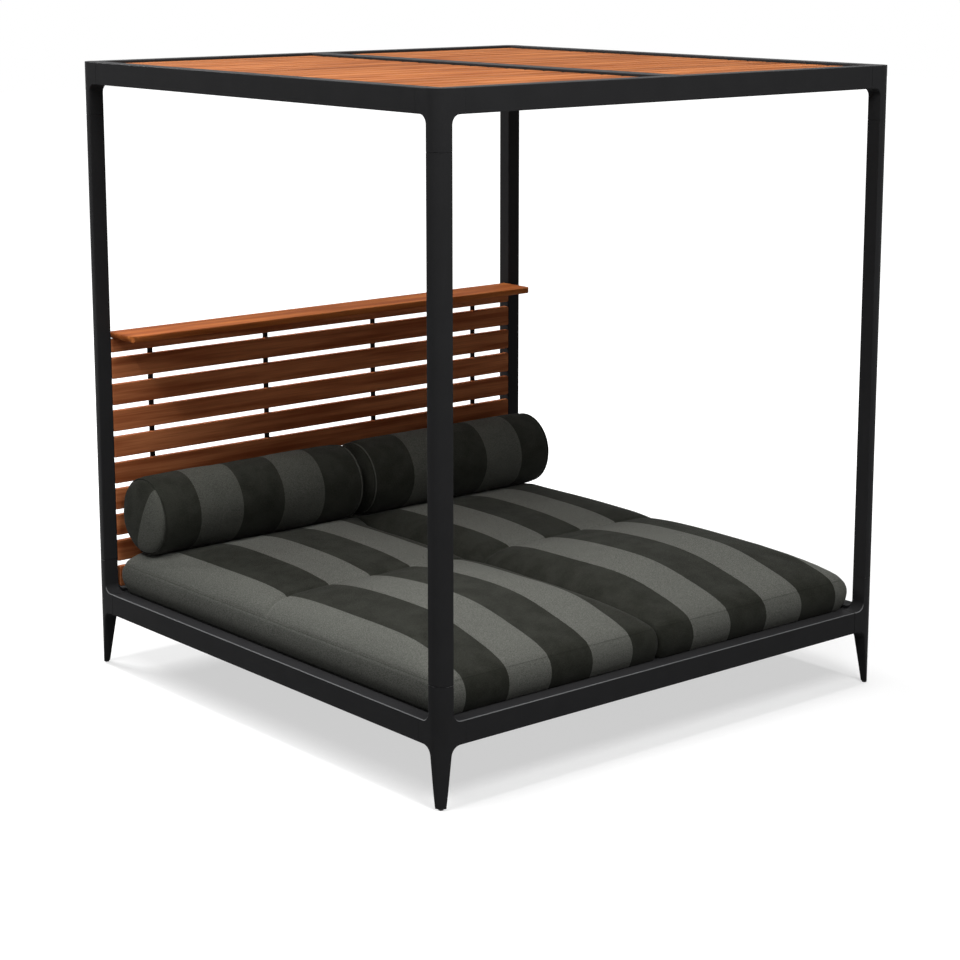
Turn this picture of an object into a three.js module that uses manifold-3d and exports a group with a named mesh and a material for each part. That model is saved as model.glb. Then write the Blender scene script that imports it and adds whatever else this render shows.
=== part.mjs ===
// Outdoor daybed with a slatted canopy, modelled in millimetres.
// X runs across the bed, Y from the foot end to the headboard, Z up from the floor.
// The floor is at Z = 0 and the plan centre of the frame is at X = Y = 0.

import * as THREE from "three";
import { mergeVertices } from "three/addons/utils/BufferGeometryUtils.js";
import Module from "manifold-3d";

const wasm = await Module();
wasm.setup();

// Whole frame
const frameWidth = 2000;
const frameDepth = 2000;
const frameHeight = 2200;
const postSide = 57;
const outerCornerRadius = 44;
const railHeight = 77;
const baseRailUnderside = 200;
const edgeRadius = 3;
const jointChamfer = 1.5;
const seamGap = 0.3;
const cutOverrun = 10;

// Corner castings
const castingReach = 104;
const lowerCastingTop = 395;
const upperCastingDrop = 185;
const postFilletRadius = 29;
const legFilletRadius = 33;
const legTopSide = 52;
const footSide = 28;
const glideHeight = 5;
const glideInset = 2;
const glideSide = 13;
const glideCornerRadius = 2;

// Teak boards, the same stock in the headboard and the canopy
const slatWidth = 77;
const slatThickness = 20;
const boardEdgeRadius = 2.5;
const boardCornerRadius = 5;

// Canopy
const roofSlatCount = 20;
const roofSlatRecess = 9;
const roofBeamWidth = 77;
const roofBeamDepth = 54;
const roofBattenWidth = 30;
const roofBattenDepth = 20;
const roofBattenSink = 2;
const roofBattenShares = [0.22, 0.78];

// Headboard
const headboardSlatCount = 10;
const headboardSlatPitch = 97;
const headboardRailClearance = 9;
const shelfTop = 1234;
const shelfThickness = 25;
const shelfOverhang = 144;
const shelfNoseRadius = 20;
const shelfNoseTopRadius = 4;
const shelfEdgeRadius = 2;
const shelfCornerRadius = 32;
const uprightCount = 4;
const uprightEndMargin = 175;
const uprightWidth = 20;
const uprightThickness = 5;

// Deck that carries the mattresses: a welded ring with bars across it and a spine below
const deckDrop = 11;
const deckRingWidth = 40;
const deckBarCount = 9;
const deckBarWidth = 40;
const deckBarHeight = 20;
const deckBarEndMargin = 98;
const deckSpineWidth = 50;
const deckSpineHeight = 34;

// Mattresses
const mattressFrontGap = 8;
const mattressRearGap = 15;
const mattressSideGap = 3;
const mattressSplit = 4;
const mattressCornerRadius = 45;
const mattressFootInset = 6;
const mattressWallHeight = 64;
const mattressCrownRise = 136;
const mattressEndRoll = 475;
const creaseShift = 15;
const creaseDepth = 20;
const creaseSpread = 60;
const endRollPower = 3;
const endRollRoot = 2;
const sideRollPower = 8;
const sideRollRoot = 2.5;

// Bolsters
const bolsterRadius = 144;
const bolsterHeadboardGap = 3;
const bolsterSplit = 8;
const bolsterOuterGap = 2;
const bolsterSink = 34;
const bolsterBedRadius = 250;
const bolsterDome = 30;
const bolsterDomePower = 2.4;
const bolsterShoulder = 34;
const bolsterShoulderDrop = 8;
const pipingRadius = 4;

// Facet counts
const cornerSteps = 6;
const edgeSteps = 2;
const mattressColumns = 14;
const mattressFrontRows = 10;
const mattressRearRows = 9;
const mattressBolsterRows = 5;
const mattressWallRows = 2;
const bolsterFacets = 30;
const bolsterDomeSteps = 6;
const bolsterShoulderSteps = 3;
const pipingSteps = 4;

// Derived levels and planes
const halfWidth = frameWidth / 2;
const halfDepth = frameDepth / 2;
const innerHalfWidth = halfWidth - postSide;
const innerHalfDepth = halfDepth - postSide;
const baseRailTop = baseRailUnderside + railHeight;
const roofRailUnderside = frameHeight - railHeight;
const upperCastingBottom = frameHeight - upperCastingDrop;
const deckTop = baseRailTop - deckDrop;
const headboardFace = innerHalfDepth;
const shelfUnderside = shelfTop - shelfThickness;

// Materials
function powderCoat() {
  return new THREE.MeshStandardMaterial({ color: 0x1c1c1d, roughness: 0.55, metalness: 0.1 });
}

function teak() {
  return new THREE.MeshStandardMaterial({ color: 0xb5703f, roughness: 0.6, metalness: 0 });
}

function stripedCanvas() {
  return new THREE.MeshStandardMaterial({ color: 0x454640, roughness: 0.95, metalness: 0 });
}

function glidePlastic() {
  return new THREE.MeshStandardMaterial({ color: 0x101010, roughness: 0.7, metalness: 0 });
}

// Outline of straight runs with rounded corners; each corner is { x, y, radius }.
function roundedOutline(corners, steps) {
  const points = [];
  corners.forEach((corner, index) => {
    const here = new THREE.Vector2(corner.x, corner.y);
    const before = corners[(index + corners.length - 1) % corners.length];
    const after = corners[(index + 1) % corners.length];
    if (!corner.radius) {
      points.push(here);
      return;
    }
    const back = new THREE.Vector2(before.x, before.y).sub(here).normalize();
    const ahead = new THREE.Vector2(after.x, after.y).sub(here).normalize();
    const halfAngle = Math.acos(back.dot(ahead)) / 2;
    const toCentre = back.clone().add(ahead).normalize();
    const centre = here.clone().addScaledVector(toCentre, corner.radius / Math.sin(halfAngle));
    const start = here.clone().addScaledVector(back, corner.radius / Math.tan(halfAngle));
    const sweep = Math.PI - 2 * halfAngle;
    const turn = Math.sign(-back.cross(ahead));
    for (let step = 0; step <= steps; step += 1) {
      points.push(start.clone().rotateAround(centre, (turn * sweep * step) / steps));
    }
  });
  return new THREE.Shape(points);
}

function rectangleOutline(x0, y0, x1, y1, radius) {
  const corners = [
    { x: x0, y: y0, radius },
    { x: x1, y: y0, radius },
    { x: x1, y: y1, radius },
    { x: x0, y: y1, radius },
  ];
  return roundedOutline(corners, edgeSteps);
}

function extrude(shape, length) {
  return new THREE.ExtrudeGeometry(shape, { depth: length, bevelEnabled: false });
}

// Extrusion whose end edges are eased without growing the outline or the length.
function easedExtrude(shape, length, ease, steps) {
  return new THREE.ExtrudeGeometry(shape, {
    depth: length - 2 * ease,
    bevelEnabled: true,
    bevelThickness: ease,
    bevelSize: ease,
    bevelOffset: -ease,
    bevelSegments: steps,
  }).translate(0, 0, ease);
}

function roundedExtrude(shape, length, radius) {
  return easedExtrude(shape, length, radius, edgeSteps);
}

function chamferedExtrude(shape, length) {
  return easedExtrude(shape, length, jointChamfer, 1);
}

// Turns a geometry drawn in X and Y and extruded along Z to run along X or Y.
function runAlongX(geometry) {
  const axes = new THREE.Matrix4().set(0, 0, 1, 0, 1, 0, 0, 0, 0, 1, 0, 0, 0, 0, 0, 1);
  return geometry.applyMatrix4(axes);
}

function runAlongY(geometry) {
  return geometry.rotateX(Math.PI / 2);
}

// Solid combinations
function solidOf(geometry) {
  const bare = geometry.clone();
  bare.deleteAttribute("normal");
  bare.deleteAttribute("uv");
  const merged = mergeVertices(bare);
  return new wasm.Manifold(
    new wasm.Mesh({
      numProp: 3,
      vertProperties: new Float32Array(merged.attributes.position.array),
      triVerts: new Uint32Array(merged.index.array),
    }),
  );
}

function geometryOf(solid) {
  const mesh = solid.getMesh();
  const geometry = new THREE.BufferGeometry();
  geometry.setAttribute("position", new THREE.BufferAttribute(mesh.vertProperties, 3));
  geometry.setIndex(new THREE.BufferAttribute(mesh.triVerts, 1));
  return geometry;
}

// Plan outline of a frame corner: the outer corner sits at the origin and is well rounded.
function cornerPlan(side, innerRadius) {
  const corners = [
    { x: 0, y: 0, radius: outerCornerRadius },
    { x: side, y: 0, radius: innerRadius },
    { x: side, y: side, radius: innerRadius },
    { x: 0, y: side, radius: innerRadius },
  ];
  return roundedOutline(corners, cornerSteps);
}

function cornerPrism(side, bottom, top) {
  return solidOf(extrude(cornerPlan(side, 0), top - bottom).translate(0, 0, bottom));
}

// The two arms of a casting, drawn once in elevation and laid along X and along Y.
function castingArms(outline) {
  const alongX = runAlongY(roundedExtrude(outline, postSide, edgeRadius)).translate(0, postSide, 0);
  const alongY = runAlongX(roundedExtrude(outline, postSide, edgeRadius));
  return [solidOf(alongX), solidOf(alongY)];
}

// Lower casting: post socket, two rail stubs and a leg that tapers on its inner faces.
function lowerCastingGeometry() {
  const reach = castingReach + cutOverrun;
  const top = lowerCastingTop + cutOverrun;
  const slope = (legTopSide - footSide) / (baseRailUnderside - glideHeight);
  const legSideAt = (height) => footSide + slope * (height - glideHeight);
  const outline = roundedOutline(
    [
      { x: 0, y: -cutOverrun },
      { x: legSideAt(-cutOverrun), y: -cutOverrun },
      { x: legTopSide, y: baseRailUnderside, radius: legFilletRadius },
      { x: reach, y: baseRailUnderside },
      { x: reach, y: baseRailTop },
      { x: postSide, y: baseRailTop, radius: postFilletRadius },
      { x: postSide, y: top },
      { x: 0, y: top },
    ],
    cornerSteps,
  );
  const [armX, armY] = castingArms(outline);
  const legTop = fullWidthLevel(slope);
  const below = cornerPrism(castingReach, glideHeight + seamGap, legTop);
  const above = cornerPrism(castingReach, legTop, lowerCastingTop - seamGap / 2);
  const leg = armX.intersect(armY).intersect(below);
  const body = armX.add(armY).intersect(above);
  return geometryOf(leg.add(body));
}

// Level in the leg fillet where the leg has grown to the full side of the post.
function fullWidthLevel(slope) {
  const lean = Math.atan(slope);
  const halfAngle = (Math.PI / 2 + lean) / 2;
  const centreX = legTopSide + legFilletRadius / Math.tan(halfAngle);
  const centreZ = baseRailUnderside - legFilletRadius;
  const rise = Math.sqrt(legFilletRadius ** 2 - (centreX - postSide) ** 2);
  return centreZ + rise;
}

// Upper casting: post socket and two rail stubs with a rounded crotch below them.
function upperCastingGeometry() {
  const reach = castingReach + cutOverrun;
  const bottom = upperCastingBottom - cutOverrun;
  const outline = roundedOutline(
    [
      { x: 0, y: bottom },
      { x: postSide, y: bottom },
      { x: postSide, y: roofRailUnderside, radius: postFilletRadius },
      { x: reach, y: roofRailUnderside },
      { x: reach, y: frameHeight },
      { x: 0, y: frameHeight },
    ],
    cornerSteps,
  );
  const [armX, armY] = castingArms(outline);
  const prism = cornerPrism(castingReach, upperCastingBottom + seamGap / 2, frameHeight);
  return geometryOf(armX.add(armY).intersect(prism));
}

function postGeometry() {
  const bottom = lowerCastingTop + seamGap / 2;
  const top = upperCastingBottom - seamGap / 2;
  const plan = cornerPlan(postSide, edgeRadius);
  return chamferedExtrude(plan, top - bottom).translate(0, 0, bottom);
}

// Glide under the foot, clear of the inner faces and of the rounded outer corner.
function glideGeometry() {
  const inner = footSide - glideInset;
  const outer = inner - glideSide;
  return extrude(rectangleOutline(outer, outer, inner, inner, glideCornerRadius), glideHeight);
}

// Straight bar with rounded long edges and chamfered ends, lying along X.
function railGeometry(length, width, height) {
  const section = rectangleOutline(-width / 2, 0, width / 2, height, edgeRadius);
  return runAlongX(chamferedExtrude(section, length)).translate(-length / 2, 0, 0);
}

// Board with every edge eased, lying along X, standing on its long edge.
function boardGeometry(length, height, thickness) {
  const corner = Math.min(boardCornerRadius, height / 2 - boardEdgeRadius);
  const face = rectangleOutline(-length / 2, 0, length / 2, height, corner);
  return runAlongY(roundedExtrude(face, thickness, boardEdgeRadius)).translate(0, thickness, 0);
}

// One canopy panel: slats side by side, tied together by battens underneath.
function roofPanelGeometry(length) {
  const run = 2 * innerHalfDepth - 2 * seamGap;
  const gap = (run - roofSlatCount * slatWidth) / (roofSlatCount - 1);
  const top = frameHeight - roofSlatRecess;
  const underside = top - slatThickness;
  const slat = rectangleOutline(0, underside, slatWidth, top, boardEdgeRadius);
  const slatSolid = solidOf(runAlongX(extrude(slat, length)).translate(-length / 2, -run / 2, 0));
  const battenTop = underside + roofBattenSink;
  const batten = rectangleOutline(
    -roofBattenWidth / 2,
    battenTop - roofBattenDepth - roofBattenSink,
    roofBattenWidth / 2,
    battenTop,
    0,
  );
  const battenSolid = solidOf(runAlongY(extrude(batten, run)).translate(0, run / 2, 0));
  let panel = battenSolid.translate([(roofBattenShares[0] - 0.5) * length, 0, 0]);
  panel = panel.add(battenSolid.translate([(roofBattenShares[1] - 0.5) * length, 0, 0]));
  for (let index = 0; index < roofSlatCount; index += 1) {
    panel = panel.add(slatSolid.translate([0, index * (slatWidth + gap), 0]));
  }
  return geometryOf(panel);
}

// Shelf over the headboard: flat top, a nose and ends that are rounded most underneath, and
// front corners rounded in plan.
function shelfGeometry() {
  const length = 2 * innerHalfWidth - 2 * seamGap;
  const front = headboardFace - shelfOverhang;
  const back = headboardFace + slatThickness + seamGap + uprightThickness;
  const side = roundedOutline(
    [
      { x: front, y: shelfUnderside, radius: shelfNoseRadius },
      { x: back, y: shelfUnderside },
      { x: back, y: shelfTop, radius: shelfEdgeRadius },
      { x: front, y: shelfTop, radius: shelfNoseTopRadius },
    ],
    cornerSteps,
  );
  const lengthwise = roundedOutline(
    [
      { x: -length / 2, y: shelfUnderside, radius: shelfNoseRadius },
      { x: length / 2, y: shelfUnderside, radius: shelfNoseRadius },
      { x: length / 2, y: shelfTop, radius: shelfNoseTopRadius },
      { x: -length / 2, y: shelfTop, radius: shelfNoseTopRadius },
    ],
    cornerSteps,
  );
  const plan = roundedOutline(
    [
      { x: -length / 2, y: front, radius: shelfCornerRadius },
      { x: length / 2, y: front, radius: shelfCornerRadius },
      { x: length / 2, y: back, radius: shelfEdgeRadius },
      { x: -length / 2, y: back, radius: shelfEdgeRadius },
    ],
    cornerSteps,
  );
  const along = solidOf(runAlongX(extrude(side, length)).translate(-length / 2, 0, 0));
  const across = solidOf(runAlongY(extrude(lengthwise, frameDepth)).translate(0, halfDepth, 0));
  const above = solidOf(extrude(plan, shelfThickness).translate(0, 0, shelfUnderside));
  return geometryOf(along.intersect(across).intersect(above));
}

// Share of the crown that is left at a distance in from an end or a side.
function rollShare(distance, run, power, root) {
  const inward = Math.min(distance / run, 1);
  return (1 - (1 - inward) ** power) ** (1 / root);
}

// Stations that crowd together at both ends of a run.
function crowdedStations(start, end, count) {
  const middle = (start + end) / 2;
  const half = (end - start) / 2;
  const stations = [];
  for (let index = 0; index <= count; index += 1) {
    stations.push(middle - half * Math.cos((Math.PI * index) / count));
  }
  return stations;
}

// Plan position with the corners of the mattress rounded off.
function roundedPlan(x, y, halfX, halfY, radius) {
  const cornerX = Math.abs(x) - (halfX - radius);
  const cornerY = Math.abs(y) - (halfY - radius);
  if (cornerX <= 0 || cornerY <= 0) {
    return [x, y];
  }
  const shrink = Math.max(cornerX, cornerY) / Math.hypot(cornerX, cornerY);
  const newX = halfX - radius + cornerX * shrink;
  const newY = halfY - radius + cornerY * shrink;
  return [Math.sign(x) * newX, Math.sign(y) * newY];
}

// Mattress: upright walls, a crowned top that rolls down to them, a sewn crease across
// the middle, and the shallow bed that the bolster has pressed into it.
function mattressGeometry() {
  const front = -innerHalfDepth + mattressFrontGap;
  const rear = innerHalfDepth - mattressRearGap;
  const middle = (front + rear) / 2;
  const halfY = (rear - front) / 2;
  const halfX = (innerHalfWidth - mattressSideGap - mattressSplit / 2) / 2;
  const bottom = deckTop + seamGap;
  const shoulder = bottom + mattressWallHeight;
  const crease = creaseShift - middle;
  const bedLine = bolsterCentreY() - middle;
  const bedBottom = bolsterCentreZ() - bolsterRadius - seamGap;

  function topHeight(x, y) {
    const endShare = rollShare(halfY - Math.abs(y), mattressEndRoll, endRollPower, endRollRoot);
    const sideShare = rollShare(halfX - Math.abs(x), halfX, sideRollPower, sideRollRoot);
    const dip = creaseDepth * Math.exp(-Math.abs(y - crease) / creaseSpread);
    const crown = shoulder + mattressCrownRise * endShare * sideShare - dip * sideShare;
    const bed = bedBottom + (y - bedLine) ** 2 / (2 * bolsterBedRadius);
    return Math.min(crown, bed);
  }

  const columns = crowdedStations(-halfX, halfX, mattressColumns);
  const frontRows = crowdedStations(-halfY, crease, mattressFrontRows);
  const rearRows = crowdedStations(crease, bedLine, mattressRearRows);
  const bolsterRows = crowdedStations(bedLine, halfY, mattressBolsterRows);
  const rows = frontRows.concat(rearRows.slice(1), bolsterRows.slice(1));
  const positions = [];
  const faces = [];

  function addVertex(x, y, z, inset) {
    const spreadX = (x * (halfX - inset)) / halfX;
    const spreadY = (y * (halfY - inset)) / halfY;
    const plan = roundedPlan(spreadX, spreadY, halfX - inset, halfY - inset, mattressCornerRadius);
    positions.push(plan[0], plan[1] + middle, z);
    return positions.length / 3 - 1;
  }

  function addQuad(a, b, c, d) {
    faces.push(a, b, c, a, c, d);
  }

  const lastColumn = columns.length - 1;
  const lastRow = rows.length - 1;
  const top = rows.map((y) => columns.map((x) => addVertex(x, y, topHeight(x, y), 0)));
  const base = rows.map((y) => columns.map((x) => addVertex(x, y, bottom, mattressFootInset)));
  for (let row = 0; row < lastRow; row += 1) {
    for (let column = 0; column < lastColumn; column += 1) {
      addQuad(
        top[row][column],
        top[row][column + 1],
        top[row + 1][column + 1],
        top[row + 1][column],
      );
      addQuad(
        base[row][column],
        base[row + 1][column],
        base[row + 1][column + 1],
        base[row][column + 1],
      );
    }
  }

  // The rim runs round the plan once, seen from above it turns to the left.
  const rim = [];
  for (let column = 0; column < lastColumn; column += 1) {
    rim.push([0, column]);
  }
  for (let row = 0; row < lastRow; row += 1) {
    rim.push([row, lastColumn]);
  }
  for (let column = lastColumn; column > 0; column -= 1) {
    rim.push([lastRow, column]);
  }
  for (let row = lastRow; row > 0; row -= 1) {
    rim.push([row, 0]);
  }
  const rings = [rim.map(([row, column]) => base[row][column])];
  for (let level = 1; level < mattressWallRows; level += 1) {
    const height = bottom + (mattressWallHeight * level) / mattressWallRows;
    rings.push(rim.map(([row, column]) => addVertex(columns[column], rows[row], height, 0)));
  }
  rings.push(rim.map(([row, column]) => top[row][column]));
  for (let level = 0; level < rings.length - 1; level += 1) {
    for (let index = 0; index < rim.length; index += 1) {
      const next = (index + 1) % rim.length;
      addQuad(
        rings[level][index],
        rings[level][next],
        rings[level + 1][next],
        rings[level + 1][index],
      );
    }
  }
  const geometry = new THREE.BufferGeometry();
  geometry.setAttribute("position", new THREE.Float32BufferAttribute(positions, 3));
  geometry.setIndex(faces);
  return geometry;
}

function bolsterCentreY() {
  return headboardFace - bolsterHeadboardGap - bolsterRadius;
}

function bolsterCentreZ() {
  return deckTop + mattressWallHeight + mattressCrownRise + bolsterRadius - bolsterSink;
}

// Half of the bolster outline, from the middle of its end to the middle of its length.
function bolsterHalfProfile(length) {
  const seamRadius = bolsterRadius - bolsterShoulderDrop;
  const points = [];
  for (let step = 0; step < bolsterDomeSteps; step += 1) {
    const share = Math.sin((Math.PI / 2) * (step / bolsterDomeSteps));
    const depth = bolsterDome * (1 - share ** bolsterDomePower) ** (1 / bolsterDomePower);
    points.push(new THREE.Vector2(seamRadius * share, length / 2 - bolsterDome + depth));
  }
  const seam = length / 2 - bolsterDome;
  for (let step = 0; step <= pipingSteps; step += 1) {
    const angle = (Math.PI * step) / pipingSteps;
    const outward = seamRadius + pipingRadius * Math.sin(angle);
    points.push(new THREE.Vector2(outward, seam - pipingRadius + pipingRadius * Math.cos(angle)));
  }
  const shoulderStart = seam - 2 * pipingRadius;
  for (let step = 1; step <= bolsterShoulderSteps; step += 1) {
    const share = step / bolsterShoulderSteps;
    const radius = seamRadius + bolsterShoulderDrop * Math.sin((Math.PI / 2) * share);
    points.push(new THREE.Vector2(radius, shoulderStart - bolsterShoulder * share));
  }
  return points;
}

function bolsterGeometry() {
  const length = innerHalfWidth - bolsterOuterGap - bolsterSplit / 2;
  const half = bolsterHalfProfile(length);
  const mirrored = half.map((point) => new THREE.Vector2(point.x, -point.y));
  const profile = mirrored.concat(half.reverse());
  const lathe = new THREE.LatheGeometry(profile, bolsterFacets);
  return lathe.rotateZ(-Math.PI / 2);
}

// Assembly
const daybed = new THREE.Group();
daybed.name = "canopy_daybed";

function addPiece(name, geometry, material) {
  const mesh = new THREE.Mesh(geometry, material);
  mesh.name = name;
  daybed.add(mesh);
  return mesh;
}

// The four frame corners, each as the turn that carries the front-left corner onto it.
const frameCorners = [
  { name: "front_left", x: -halfWidth, y: -halfDepth, turn: 0 },
  { name: "front_right", x: halfWidth, y: -halfDepth, turn: Math.PI / 2 },
  { name: "rear_right", x: halfWidth, y: halfDepth, turn: Math.PI },
  { name: "rear_left", x: -halfWidth, y: halfDepth, turn: -Math.PI / 2 },
];

function addCorners() {
  const kinds = [
    { name: "leg_casting", geometry: lowerCastingGeometry(), material: powderCoat() },
    { name: "post", geometry: postGeometry(), material: powderCoat() },
    { name: "roof_casting", geometry: upperCastingGeometry(), material: powderCoat() },
    { name: "foot_glide", geometry: glideGeometry(), material: glidePlastic() },
  ];
  for (const kind of kinds) {
    for (const corner of frameCorners) {
      const piece = kind.geometry.clone().rotateZ(corner.turn).translate(corner.x, corner.y, 0);
      addPiece(`${kind.name}_${corner.name}`, piece, kind.material);
    }
  }
}

function addRails() {
  const levels = [
    { name: "base_rail", bottom: baseRailUnderside },
    { name: "roof_rail", bottom: roofRailUnderside },
  ];
  const acrossLength = frameWidth - 2 * castingReach - 2 * seamGap;
  const alongLength = frameDepth - 2 * castingReach - 2 * seamGap;
  const across = railGeometry(acrossLength, postSide, railHeight);
  const along = railGeometry(alongLength, postSide, railHeight).rotateZ(Math.PI / 2);
  const offsetX = halfWidth - postSide / 2;
  const offsetY = halfDepth - postSide / 2;
  for (const level of levels) {
    const front = across.clone().translate(0, -offsetY, level.bottom);
    const rear = across.clone().translate(0, offsetY, level.bottom);
    const left = along.clone().translate(-offsetX, 0, level.bottom);
    const right = along.clone().translate(offsetX, 0, level.bottom);
    addPiece(`${level.name}_front`, front, powderCoat());
    addPiece(`${level.name}_rear`, rear, powderCoat());
    addPiece(`${level.name}_left`, left, powderCoat());
    addPiece(`${level.name}_right`, right, powderCoat());
  }
}

function addRoof() {
  const beamLength = 2 * innerHalfDepth - 2 * seamGap;
  const beam = railGeometry(beamLength, roofBeamWidth, roofBeamDepth).rotateZ(Math.PI / 2);
  addPiece("roof_beam", beam.translate(0, 0, frameHeight - roofBeamDepth), powderCoat());
  const panelLength = innerHalfWidth - roofBeamWidth / 2 - 2 * seamGap;
  const panelCentre = roofBeamWidth / 2 + seamGap + panelLength / 2;
  const panel = roofPanelGeometry(panelLength);
  addPiece("roof_panel_left", panel.clone().translate(-panelCentre, 0, 0), teak());
  addPiece("roof_panel_right", panel.clone().translate(panelCentre, 0, 0), teak());
}

// How far a lower casting's fillet stands out from the post at a rise over the rail.
function postFilletReach(rise) {
  const below = Math.max(postFilletRadius - rise, 0);
  return postFilletRadius - Math.sqrt(postFilletRadius ** 2 - below ** 2);
}

function addHeadboard() {
  const lowest = baseRailTop + headboardRailClearance;
  for (let index = 0; index < headboardSlatCount; index += 1) {
    const bottom = lowest + index * headboardSlatPitch;
    const top = Math.min(bottom + slatWidth, shelfUnderside - seamGap);
    const halfLength = innerHalfWidth - seamGap - postFilletReach(bottom - baseRailTop);
    const slat = boardGeometry(2 * halfLength, top - bottom, slatThickness);
    addPiece(`headboard_slat_${index + 1}`, slat.translate(0, headboardFace, bottom), teak());
  }
  const uprightBottom = baseRailTop + seamGap;
  const uprightTop = shelfUnderside - seamGap;
  const plan = rectangleOutline(-uprightWidth / 2, 0, uprightWidth / 2, uprightThickness, 0);
  const upright = extrude(plan, uprightTop - uprightBottom);
  const face = headboardFace + slatThickness + seamGap;
  const pitch = (2 * (innerHalfWidth - uprightEndMargin)) / (uprightCount - 1);
  for (let index = 0; index < uprightCount; index += 1) {
    const x = (index - (uprightCount - 1) / 2) * pitch;
    const piece = upright.clone().translate(x, face, uprightBottom);
    addPiece(`headboard_upright_${index + 1}`, piece, powderCoat());
  }
  addPiece("headboard_shelf", shelfGeometry(), teak());
}

function deckRingGeometry() {
  const halfX = innerHalfWidth - seamGap;
  const halfY = innerHalfDepth - seamGap;
  const ring = rectangleOutline(-halfX, -halfY, halfX, halfY, 0);
  const openX = halfX - deckRingWidth;
  const openY = halfY - deckRingWidth;
  ring.holes.push(rectangleOutline(-openX, -openY, openX, openY, 0));
  return extrude(ring, deckBarHeight).translate(0, 0, deckTop - deckBarHeight);
}

function addDeck() {
  addPiece("deck_ring", deckRingGeometry(), powderCoat());
  const barLength = 2 * (innerHalfWidth - deckRingWidth - 2 * seamGap);
  const bar = railGeometry(barLength, deckBarWidth, deckBarHeight);
  const pitch = (2 * (innerHalfDepth - deckBarEndMargin)) / (deckBarCount - 1);
  for (let index = 0; index < deckBarCount; index += 1) {
    const y = (index - (deckBarCount - 1) / 2) * pitch;
    const piece = bar.clone().translate(0, y, deckTop - deckBarHeight);
    addPiece(`deck_bar_${index + 1}`, piece, powderCoat());
  }
  const spineLength = 2 * innerHalfDepth - 2 * seamGap;
  const spine = railGeometry(spineLength, deckSpineWidth, deckSpineHeight).rotateZ(Math.PI / 2);
  const spineBottom = deckTop - deckBarHeight - seamGap - deckSpineHeight;
  addPiece("deck_spine", spine.translate(0, 0, spineBottom), powderCoat());
}

function addCushions() {
  const mattressCentre = (innerHalfWidth - mattressSideGap + mattressSplit / 2) / 2;
  const bolsterCentre = (innerHalfWidth - bolsterOuterGap + bolsterSplit / 2) / 2;
  const mattress = mattressGeometry();
  const bolster = bolsterGeometry();
  for (const side of [{ name: "left", sign: -1 }, { name: "right", sign: 1 }]) {
    const pad = mattress.clone().translate(side.sign * mattressCentre, 0, 0);
    addPiece(`mattress_${side.name}`, pad, stripedCanvas());
    const roll = bolster
      .clone()
      .translate(side.sign * bolsterCentre, bolsterCentreY(), bolsterCentreZ());
    addPiece(`bolster_${side.name}`, roll, stripedCanvas());
  }
}

addCorners();
addRails();
addRoof();
addHeadboard();
addDeck();
addCushions();

export default daybed;
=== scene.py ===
import math

import bpy
import numpy as np
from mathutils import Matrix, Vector, noise


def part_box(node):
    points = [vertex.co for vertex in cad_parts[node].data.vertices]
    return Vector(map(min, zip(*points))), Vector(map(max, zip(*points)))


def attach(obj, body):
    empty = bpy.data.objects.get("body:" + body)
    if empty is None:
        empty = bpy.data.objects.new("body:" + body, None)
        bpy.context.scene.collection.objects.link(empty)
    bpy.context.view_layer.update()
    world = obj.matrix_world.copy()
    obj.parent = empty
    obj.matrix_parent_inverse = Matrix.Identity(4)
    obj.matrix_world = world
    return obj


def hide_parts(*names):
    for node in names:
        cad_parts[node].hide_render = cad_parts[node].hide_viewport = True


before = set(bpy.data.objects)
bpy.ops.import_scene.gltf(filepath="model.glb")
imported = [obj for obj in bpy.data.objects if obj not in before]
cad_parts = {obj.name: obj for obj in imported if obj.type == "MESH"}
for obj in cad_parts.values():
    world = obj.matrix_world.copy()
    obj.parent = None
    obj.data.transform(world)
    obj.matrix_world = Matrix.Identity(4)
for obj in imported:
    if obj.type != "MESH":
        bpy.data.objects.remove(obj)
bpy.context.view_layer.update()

# Lengths are in metres, in the frame of the CAD model: X across the bed, Y towards the
# headboard, Z up from the floor. Colours are display colours from 0 to 255.
ACROSS = (1, 0, 0)
TO_HEADBOARD = (0, 1, 0)
UP = (0, 0, 1)

# Camera of the photograph, with its angles in radians
FRAME_PIXELS = 960
FOCAL_PIXELS = 2333.1
SHIFT_PIXELS = -80
SENSOR_MILLIMETRES = 36
CAMERA_PLACE = (-5.2459, -6.2516, 2.6258)
CAMERA_YAW = 0.69802
CAMERA_PITCH = 0.19556

# Mattress form
MATTRESS_VOXEL = 0.0125
MATTRESS_COLUMNS = 90
MATTRESS_ROWS = 180
MATTRESS_WALL_LEVELS = 8
MATTRESS_CORNER_RADIUS = 0.020
MATTRESS_REAR_EASE = 0.010
BASE_TUCK = 0.020
BASE_OVERRUN = 0.006
WALL_HEIGHT = 0.064
CROWN_RISE = 0.130
FOOT_ROLL = 0.475
HEAD_ROLL = 0.270
END_POWER = 3
END_ROOT = 2
SIDE_POWER = 8
SIDE_ROOT = 2.5
CORNER_FULLNESS = 3
LEAST_ROLL_SHARE = 0.01
BED_RADIUS = 0.250
BED_HALF_WIDTH = 0.075
BED_CLEARANCE = 0.0003
INNER_FILL = 0.08
INNER_FILL_REACH = 0.12
SPLIT_CLEARANCE = 0.0012
RAIL_CLEARANCE = 0.0015
WALL_BULGE = 0.003

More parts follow.
